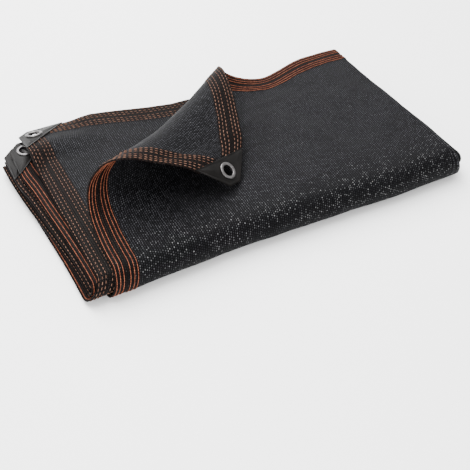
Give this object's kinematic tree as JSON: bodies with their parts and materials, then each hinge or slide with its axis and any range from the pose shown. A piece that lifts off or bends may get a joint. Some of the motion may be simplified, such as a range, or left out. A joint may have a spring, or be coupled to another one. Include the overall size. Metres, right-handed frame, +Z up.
{
  "type": "folded shade cloth",
  "caption": "Black knitted shade net with stitched hems, folded to a flat pad, one corner with its patch and eyelet turned back.",
  "frame": {"origin": "centre of the footprint on the surface that the folded cloth lies on", "axes": "+X along the pad's long side towards its folded right end, +Y towards its back where the corners are, +Z up"},
  "size_m": [0.5484, 0.3246, 0.1135],
  "materials": {
    "net": "matte black knitted net",
    "patch": "smooth black coated sheet",
    "steel": "satin metal"
  },
  "bodies": {
    "root": {"cloth": "net", "patch_flap": "patch", "patch_second": "patch", "patch_third": "patch", "patch_fourth": "patch", "eyelet_flap": "steel", "eyelet_second": "steel", "eyelet_third": "steel", "eyelet_fourth": "steel"}
  },
  "joints": []
}
